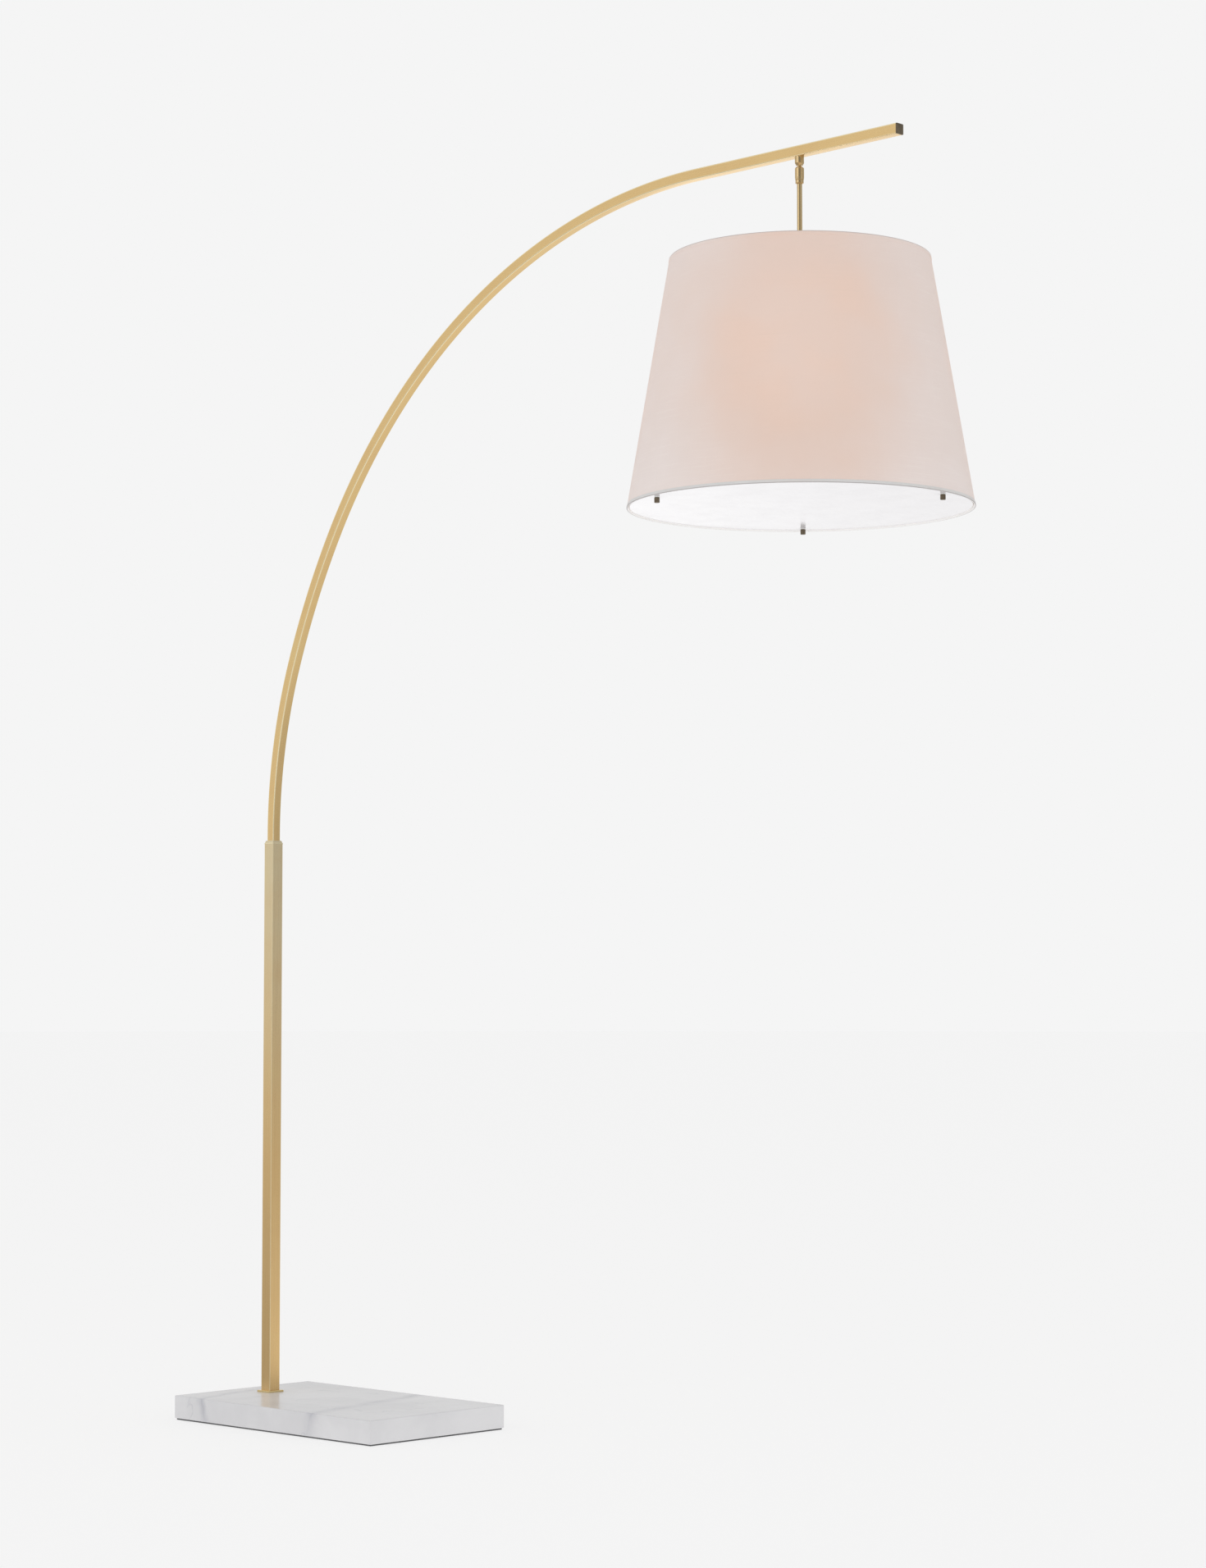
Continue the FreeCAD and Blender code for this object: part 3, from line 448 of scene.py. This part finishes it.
def linen_material(name, light=linen_light, dark=linen_dark, glow=0.0, rim=None, leak=0.0):
    """Linen on a lofted skin. If it glows, a warm light from behind is painted on it, as a warm tint in its
    colour and a painted glow, strongest at the bulbs' height. rim is for a hem, with a painted shadow line
    outside along
    its fold: the fold's height and radius, and how dark the painted shade is. leak is how strongly a painted
    glow of the lamp's light shows on a hem's inside."""
    tree = Tree(name)
    place = tree.place()
    weave, slubs = weave_height(tree, tree.along())
    clouds = tree.noise(place, 7.0, 3.0, 0.55)
    colour = tree.mix(tree.remap(weave, 0.0, 1.1), dark, light)
    colour = tree.mix(tree.remap(slubs, 0.0, 1.0, 0.0, 0.30), colour, slub_tint)
    colour = tree.mix(tree.remap(clouds, 0.40, 0.75, 0.0, 0.25), colour, linen_cloud)
    sockets = {}
    if glow:
        # The bulbs' light, painted: a warm tint in the colour and a glow in the emission
        lit = lit_from_behind(tree, place, *glow_patch)
        warm = lit_from_behind(tree, place, *painted_warm_patch)
        colour = tree.mix(tree.maths("MULTIPLY", warm, 0.8), colour, lit_linen)
        through = tree.maths("MULTIPLY", tree.maths("MULTIPLY", lit, lit), 0.6 * glow)
        through = tree.maths("ADD", through, 1.15 * glow)
        through = tree.maths("MULTIPLY", through, tree.remap(weave, 0.0, 1.3, 1.15, 0.85))
        sockets.update(Emission_Color=through_linen, Emission_Strength=through)
    if rim:
        # A painted shadow line, grey on the outside along the fold
        fold_z, fold_radius, fold_shadow_depth = rim
        from_fold = tree.apart(tree.split(place, "Z"), fold_z)
        from_axis = tree.distance(tree.scaled(place, (1.0, 1.0, 0.0)), hang)
        outside = tree.remap(from_axis, fold_radius - 0.0012, fold_radius - 0.0004)
        painted_fold_mask = tree.maths("MULTIPLY", tree.remap(from_fold, 0.0016, 0.0007, 0.0, fold_shadow_depth), outside)
        colour = tree.mix(painted_fold_mask, colour, painted_fold_shadow)
        # A painted glow of the lamp's light on the hem's inside
        if leak:
            leaked = tree.maths("MULTIPLY", tree.maths("SUBTRACT", 1.0, outside), leak)
            sockets.update(Emission_Color=leaked_light, Emission_Strength=leaked)
    return tree.surface(Base_Color=colour, Roughness=0.88, Sheen_Weight=0.35, Sheen_Roughness=0.45,
                        Sheen_Tint=rgb(1.0, 0.98, 0.98), Normal=tree.bump(weave, 0.00022, 0.7), **sockets)


def plain_material(name, colour, roughness, metallic=0.0, mottle=0.12, grain=90.0, depth=0.00003,
                   **sockets):
    """A moulded, cast or plated finish: the colour mottled a little, with a fine uneven surface."""
    tree = Tree(name)
    place = tree.place()
    patches = tree.noise(place, grain, 4.0, 0.6)
    shade = rgb(*(c * (1 - mottle) for c in colour[:3]))
    tint = tree.mix(tree.remap(patches, 0.3, 0.7), colour, shade)
    smudges = tree.noise(place, grain * 2.3, 3.0)
    dull = tree.remap(smudges, 0.3, 0.7, roughness * 0.85, min(1.0, roughness * 1.2))
    rough = tree.bump(tree.noise(place, grain * 9.0, 3.0, 0.6), depth, 0.6)
    return tree.surface(Base_Color=tint, Roughness=dull, Metallic=metallic, Normal=rough, **sockets)


pole_grain, cap_grain = (900.0, 900.0, 5.0), (900.0, 900.0, 90.0)
turned_grain, rod_grain, arm_grain = (160.0, 160.0, 2600.0), (1500.0, 1500.0, 25.0), (5.0, 1400.0, 1.0)
brasses = {
    "pole_brass": dict(coords="Object", grain=pole_grain, tint=golden, high_tint=painted_pale_top,
                       heights=(0.38, high("pole_tube").z), edges=pole_edges),
    "cap_brass": dict(coords="Object", grain=cap_grain, roughness=0.22, tint=pale, edges=cap_edges),
    "flange_brass": dict(coords="Object", grain=cap_grain, roughness=0.13, tint=dull_gold),
    "arm_brass": dict(coords="UV", grain=arm_grain, roughness=0.22, edges=arm_edges),
    "turned_brass": dict(coords="Object", grain=turned_grain, roughness=0.15, tint=aged),
    "rod_brass": dict(coords="Object", grain=rod_grain, roughness=0.16, tint=aged),
}
# glow paints the bulbs' light into the linen; rim paints a shadow line along a hem's fold, and leak a glow on
# its inside
linens = {
    "linen": dict(glow=0.10),
    "top_linen": dict(glow=0.10, rim=(shade_top, linen_head_radius, 0.75)),
    "hem_linen": dict(light=hem_light, dark=hem_dark, rim=(shade_bottom, linen_foot_radius, 0.70), leak=0.28),
}
plain_finishes = {
    # The lining's weak glow is painted light from the bulbs
    "shade_lining": dict(colour=rgb(0.86, 0.82, 0.76), roughness=0.55, grain=30.0,
                         Emission_Color=rgb(1.0, 0.84, 0.70), Emission_Strength=0.12),
    "felt": dict(colour=rgb(0.12, 0.12, 0.125), roughness=0.95, mottle=0.4, grain=500.0, depth=0.0003,
                 Sheen_Weight=0.4),
    "dark_bronze": dict(colour=rgb(0.22, 0.175, 0.12), roughness=0.40, metallic=0.85, mottle=0.3),
    "zinc_steel": dict(colour=rgb(0.58, 0.59, 0.60), roughness=0.32, metallic=1.0),
    "black_nylon": dict(colour=rgb(0.03, 0.03, 0.03), roughness=0.5),
    "clear_nylon": dict(colour=rgb(0.80, 0.79, 0.74), roughness=0.4),
    "rubber": dict(colour=rgb(0.03, 0.03, 0.03), roughness=0.7, grain=260.0),
    "lead_sheath": dict(colour=rgb(0.62, 0.58, 0.50), roughness=0.45),
    "white_wire": dict(colour=rgb(0.80, 0.79, 0.77), roughness=0.35),
    "porcelain": dict(colour=rgb(0.82, 0.80, 0.76), roughness=0.2, Coat_Weight=0.5),
    "bulb_cap": dict(colour=rgb(0.70, 0.70, 0.71), roughness=0.28, metallic=1.0),
    "bulb_glass": dict(colour=rgb(0.95, 0.90, 0.82), roughness=0.35, mottle=0.04,
                       Emission_Color=rgb(1.0, 0.86, 0.70), Emission_Strength=2.5),
    # The diffuser's weak glow is painted light
    "opal_acrylic": dict(colour=rgb(0.76, 0.745, 0.76), roughness=0.16, mottle=0.03, grain=12.0,
                         depth=0.00001, Emission_Color=rgb(1.0, 0.95, 0.97), Emission_Strength=0.04),
}
materials = {"marble": marble_material()}
for make, finishes in ((brass_material, brasses), (linen_material, linens), (plain_material, plain_finishes)):
    for name, finish in finishes.items():
        materials[name] = make(name, **finish)

# Surfaces with a weak painted glow, too weak to be worth sampling as lights
for name in ("linen", "top_linen", "hem_linen", "shade_lining", "opal_acrylic"):
    materials[name].cycles.emission_sampling = "NONE"

# The material of each slot and node where it isn't the one with the slot's name
slot_materials = {"satin_brass": "turned_brass"}
node_materials = {"pole_tube": "pole_brass", "pole_cap": "cap_brass", "foot_flange": "flange_brass",
                  "arc_arm": "arm_brass", "drop_rod": "rod_brass", "ball_stud": "turned_brass"}


def dress_cad_nodes():
    """Gives every CAD node its material, chosen by its node or its slot."""
    for part in frame["record"]["subparts"]:
        name, slot = part["node"], part["material_slot"]
        node = nodes[name]
        chosen = node_materials.get(name, slot_materials.get(slot, slot))
        node.data.materials.clear()
        node.data.materials.append(materials[chosen])


# The shade

def outward(turn):
    """The level direction at an angle round from +X, in radians."""
    return Vector((math.cos(turn), math.sin(turn), 0))


def up(z):
    return Vector((0, 0, z))


def skin_radius(z):
    """The linen's outer radius at a height."""
    share = (z - linen_low) / (linen_high - linen_low)
    return linen_foot_radius + (linen_head_radius - linen_foot_radius) * share


def shade_steps():
    """Angles round the shade in degrees, closer together at the seam."""
    angles = [360.0 * step / round_steps for step in range(round_steps)]
    edge = math.degrees(seam_width / linen_foot_radius)
    angles += [seam_angle + extra for extra in (-0.15, 0.0, 0.05, edge - 0.05, edge, edge + 0.15)]
    return sorted(angles)


def seam_rise(angle):
    """How far the lap of the seam stands out."""
    edge = math.degrees(seam_width / linen_foot_radius)
    return seam_step if seam_angle <= angle <= seam_angle + edge else 0.0


def skin(name, inset, thickness, rows, slot, replaced, seam=False, waver=0.0):
    """A conical skin inside the linen's outer face."""
    bm = bmesh.new()
    rings = []
    for angle in shade_steps():
        out = outward(math.radians(angle))
        outer, inner = [], []
        for row in range(rows + 1):
            z = linen_low + (linen_high - linen_low) * row / rows
            wavering = waver * noise.noise(Vector((2.5 * out.x, 2.5 * out.y, 6 * z)))
            radius = skin_radius(z) - inset + wavering + (seam_rise(angle) if seam else 0.0)
            outer.append(hang + out * radius + up(z))
            inner.append(hang + out * (radius - thickness) + up(z))
        rings.append(outer + inner[::-1])
    loft(bm, rings, closed_way=True)
    return add_piece(name, finish_mesh(name, bm), "shade", materials[slot], replaced)


def hem(name, edge, inward, material, replaced):
    """A strip folded over a rim. inward is +1 at the bottom rim and -1 at the top."""
    skins = skin_thickness + lining_thickness
    far, near, ease = edge + inward * hem_height, edge + inward * hem_thickness, edge + inward * hem_ease
    bm = bmesh.new()
    rings = []
    for angle in shade_steps():
        out = outward(math.radians(angle))
        pucker = hem_pucker * noise.noise(Vector((60 * out.x, 60 * out.y, edge)))
        profile = [
            (hem_thickness + seam_rise(angle) + pucker, far), (hem_thickness + pucker, ease),
            (hem_thickness * 0.4, edge), (-skins - hem_thickness * 0.4, edge), (-skins - hem_thickness, ease),
            (-skins - hem_thickness, far), (-skins, far), (-skins, near), (0.0, near),
            (seam_rise(angle), far),
        ]
        rings.append([hang + out * (skin_radius(z) + d) + up(z) for d, z in profile])
    loft(bm, rings, closed_way=True)
    return add_piece(name, finish_mesh(name, bm), "shade", materials[material], replaced)


def wire_ring(name, node):
    """A round wire ring."""
    lo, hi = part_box(node)
    wire, radius = (hi.z - lo.z) / 2, (hi.x - lo.x) / 2
    section = [math.tau * step / wire_steps for step in range(wire_steps)]
    bm = bmesh.new()
    rings = []
    for step in range(round_steps):
        out = outward(math.tau * step / round_steps)
        centre = hang + out * (radius - wire) + up((lo.z + hi.z) / 2)
        rings.append([centre + wire * (out * math.cos(turn) + up(math.sin(turn))) for turn in section])
    loft(bm, rings, closed_way=True)
    add_piece(name, finish_mesh(name, bm), "shade", materials["white_wire"], (node,))


def make_shade():
    """Returns the linen and its two hems."""
    linen = skin("linen", 0.0, skin_thickness, 40, "linen", ("shade_linen",), seam=True, waver=linen_waver)
    skin("lining", skin_thickness, lining_thickness, 12, "shade_lining", ("shade_liner",))
    lower = hem("lower_hem", shade_bottom, 1, "hem_linen", ("bottom_hem",))
    upper = hem("upper_hem", shade_top, -1, "top_linen", ("top_hem",))
    wire_ring("lower_ring", "bottom_ring")
    wire_ring("upper_ring", "top_ring")
    return linen, lower, upper


# The arm

def arm_path():
    """Points along the arm's centre, each with its heading in degrees above +X."""
    foot = up(low("arc_arm").z)
    rise = arm_centre_z - low("arc_arm").z
    turned = 90.0
    for radius, turn in arm_bends:
        rise -= radius * (math.sin(math.radians(90 - turned + turn)) - math.sin(math.radians(90 - turned)))
        turned -= turn
    position, heading = foot + up(rise), 90.0
    points = [(foot, 90.0), (position.copy(), 90.0)]
    for radius, turn in arm_bends:
        angle = math.radians(heading)
        centre = position + Vector((math.sin(angle), 0, -math.cos(angle))) * radius
        steps = round(turn)
        for step in range(1, steps + 1):
            spun = Matrix.Rotation(math.radians(turn * step / steps), 4, "Y") @ (position - centre)
            points.append((centre + spun, heading - turn * step / steps))
        position, heading = points[-1][0].copy(), heading - turn
    points.append((Vector((high("arm_end_cap").x - end_cap_thickness, 0, arm_centre_z)), 0.0))
    return points


def make_arm():
    """The square tube, hollow, from its foot in the pole to its tip."""
    bm = bmesh.new()
    outline = square_section(arm_side, arm_corner)
    bore = square_section(arm_side - 2 * arm_wall, arm_bore_corner)
    outer, inner = [], []
    for position, heading in arm_path():
        turn = Matrix.Translation(position) @ Matrix.Rotation(math.radians(90 - heading), 4, "Y")
        outer.append([turn @ p for p in outline])
        inner.append([turn @ p for p in bore])
    shell = loft(bm, outer)
    hollow = loft(bm, inner)
    for end in (0, -1):
        for j in range(len(outline)):
            k = (j + 1) % len(outline)
            bm.faces.new((shell[end][j], shell[end][k], hollow[end][k], hollow[end][j]))
    add_piece("arm", finish_mesh("arm", bm), "stand", materials["arm_brass"], ("arc_arm",))


# Bulbs and nuts

def socket_place(angle):
    """Puts a shape made along +Z from the origin onto a socket's axis, which points out and down."""
    start = hang + up(high("cluster_body").z - socket_below_top)
    lean = Matrix.Rotation(math.radians(180 - socket_tilt), 4, "Y")
    return Matrix.Translation(start) @ Matrix.Rotation(math.radians(angle), 4, "Z") @ lean


def screw_radius(z, turn):
    """A bulb cap's radius at a height and a share of a turn: a rolled thread between two plain ends."""
    run_in, run_out = (z - cap_start) / thread_pitch, (cap_end - thread_runout - z) / thread_pitch
    depth = thread_depth * min(max(run_in, 0.0), max(run_out, 0.0), 1.0)
    wave = 0.5 - 0.5 * math.cos(math.tau * (run_in - turn))
    return cap_radius - depth * wave


def make_bulb_cap(number, angle, steps=64, rows=100):
    """A screw cap with its contact, which takes the glass's neck."""
    bm = bmesh.new()
    place, rings = socket_place(angle), []
    contact, bore = cap_start - contact_height, cap_radius - cap_wall
    shoulder, floor = cap_start + cap_shoulder, cap_start + cap_floor
    foot = [(0.0, contact), (contact_radius * 0.8, contact), (contact_radius, contact + cap_ease),
            (contact_radius, cap_start), (cap_radius * 0.72, cap_start),
            (cap_radius - cap_shoulder, cap_start + cap_ease)]
    heights = [shoulder + (cap_end - shoulder) * row / rows for row in range(1, rows + 1)]
    for step in range(steps):
        turn = step / steps
        out = outward(math.tau * turn)
        thread = [(screw_radius(z, turn), z) for z in heights]
        outline = foot + thread + [(bore, cap_end), (bore, floor), (0.0, floor)]
        rings.append([place @ (out * r + up(z)) for r, z in outline])
    loft(bm, rings, closed_rings=False, closed_way=True)
    name = f"screw_cap_{number}"
    add_piece(name, finish_mesh(name, bm, 50.0), f"bulb_{number}", materials["bulb_cap"],
              (f"bulb_cap_{number}",))


def make_thumb_nut(number):
    """A nut with a straight knurl, blind below."""
    node, name = f"thumb_nut_{number}", f"knurled_nut_{number}"
    foot, radius = low(node).z, radius_of(node)
    height = high(node).z - foot
    outline = [(0, 0), (radius - nut_ease, 0), (radius, nut_ease), (radius, height - nut_ease),
               (radius - nut_ease, height), (nut_bore, height), (nut_bore, nut_floor), (0, nut_floor)]
    outline = eased(outline, nut_corner, 2)
    base = Vector((middle(node).x, middle(node).y, foot))
    steps = len(knurl_profile) * knurl_ridges
    bm, rings = bmesh.new(), []
    for step in range(steps):
        out = outward(math.tau * step / steps)
        ridge = radius - knurl_depth * knurl_profile[step % len(knurl_profile)]
        rings.append([base + out * min(r, ridge) + up(z) for r, z in outline])
    loft(bm, rings, closed_rings=False, closed_way=True)
    add_piece(name, finish_mesh(name, bm, 30.0), node, materials["dark_bronze"], (node,))


# View and light

def make_camera():
    azimuth, pitch = math.radians(camera_azimuth), math.radians(camera_pitch)
    level = Vector((-math.sin(azimuth), math.cos(azimuth), 0))
    forward = level * math.cos(pitch) + up(math.sin(pitch))
    data = bpy.data.cameras.new("camera")
    data.lens, data.sensor_width, data.sensor_fit = camera_lens, camera_sensor, "AUTO"
    data.clip_end = 100.0
    camera = bpy.data.objects.new("camera", data)
    camera.location = camera_target - forward * camera_distance
    camera.rotation_mode = "QUATERNION"
    camera.rotation_quaternion = forward.to_track_quat("-Z", "Y")
    bpy.context.scene.collection.objects.link(camera)
    bpy.context.scene.camera = camera


def grey(light):
    return rgb(light, light, light)


def set_greys(ramp_output, stops):
    """Gives a colour ramp its (position, brightness) stops."""
    ramp = ramp_output.node.color_ramp
    ramp.interpolation = "EASE"
    while len(ramp.elements) < len(stops):
        ramp.elements.new(0.5)
    for element, (position, light) in zip(ramp.elements, stops):
        element.position, element.color = position, grey(light)


def make_world():
    """The even pale backdrop that is seen, and for metal a studio that is brighter at some bearings."""
    tree = Tree("studio", bpy.data.worlds)
    aim = tree.add("TexCoord", output="Generated")
    back = tree.maths("MULTIPLY", tree.split(aim, "Y"), -1.0)
    bearing = tree.maths("ARCTAN2", tree.split(aim, "X"), back)
    share = tree.maths("ADD", tree.maths("DIVIDE", bearing, math.tau), 0.5)
    walls = tree.add("ValToRGB", {0: share})
    set_greys(walls, [(bearing / 360 + 0.5, light) for bearing, light in studio])
    ceiling = tree.remap(tree.split(aim, "Z"), walls_top, ceiling_edge)
    glossy_ray = tree.add("LightPath", output="Is Glossy Ray")
    reflected = tree.mix(ceiling, walls, grey(overhead))
    sky = tree.mix(glossy_ray, tree.mix(ceiling, grey(matt_walls), grey(matt_overhead)), reflected)
    lights = tree.add("Background", {"Color": sky})
    seen = tree.add("Background", {"Color": grey(backdrop)})
    camera_ray = tree.add("LightPath", output="Is Camera Ray")
    tree.add("OutputWorld", {"Surface": tree.add("MixShader", {0: camera_ray, 1: lights, 2: seen})})
    bpy.context.scene.world = tree.owner


def make_floor():
    """A pale floor that gives some light of its own, so that it is as bright as the backdrop. Metal reflects
    it darker to the left of the lamp and far to the right, as it does the walls."""
    tree = Tree("floor")
    place = tree.place()
    right = (tree.maths("MULTIPLY", tree.split(place, axis), share) for axis, share in zip("XY", rightward))
    across = tree.maths("ADD", tree.maths("DIVIDE", tree.maths("ADD", *right), floor_span), 0.5)
    tone = tree.add("ValToRGB", {0: across})
    set_greys(tone, [(metres / floor_span + 0.5, light) for metres, light in floor_tones])
    diffuse = tree.add("BsdfDiffuse", {"Color": grey(floor_albedo)})
    light = tree.add("Emission", {"Color": grey(1.0), "Strength": floor_light})
    shown = tree.add("AddShader", {0: diffuse, 1: light})
    away = tree.add("VectorMath", {0: place}, "Value", operation="LENGTH")
    gain = tree.remap(away, far_floor_start, far_floor_full, 1.0, far_floor_gain)
    reflected = tree.add("Emission", {"Color": tone, "Strength": gain})
    glossy_ray = tree.add("LightPath", output="Is Glossy Ray")
    material = tree.shown(tree.add("MixShader", {0: glossy_ray, 1: shown, 2: reflected}))
    material.cycles.emission_sampling = "NONE"
    bm = bmesh.new()
    bmesh.ops.create_circle(bm, cap_ends=True, segments=64, radius=floor_radius)
    mesh = bpy.data.meshes.new("floor")
    bm.to_mesh(mesh)
    bm.free()
    mesh.materials.append(material)
    floor = bpy.data.objects.new("floor", mesh)
    floor.location.z = cad_box[0].z - floor_gap
    bpy.context.scene.collection.objects.link(floor)


def make_softbox():
    """A weak square soft light that faces the lamp."""
    data = bpy.data.lights.new("softbox", "AREA")
    data.shape, data.size, data.energy = "SQUARE", softbox_size, softbox_power
    light = bpy.data.objects.new("softbox", data)
    angle = math.radians(softbox_azimuth)
    away = Vector((math.sin(angle) * softbox_distance, -math.cos(angle) * softbox_distance, softbox_height))
    light.location = softbox_target + away
    light.rotation_mode = "QUATERNION"
    light.rotation_quaternion = (-away).to_track_quat("-Z", "Y")
    bpy.context.scene.collection.objects.link(light)


make_camera()
make_world()
make_floor()
make_softbox()
bpy.context.scene.view_settings.view_transform = "Standard"
dress_cad_nodes()
linen, lower_hem, upper_hem = make_shade()
make_arm()
for number, angle in enumerate(bulb_angles, 1):
    make_bulb_cap(number, angle)
    make_thumb_nut(number)
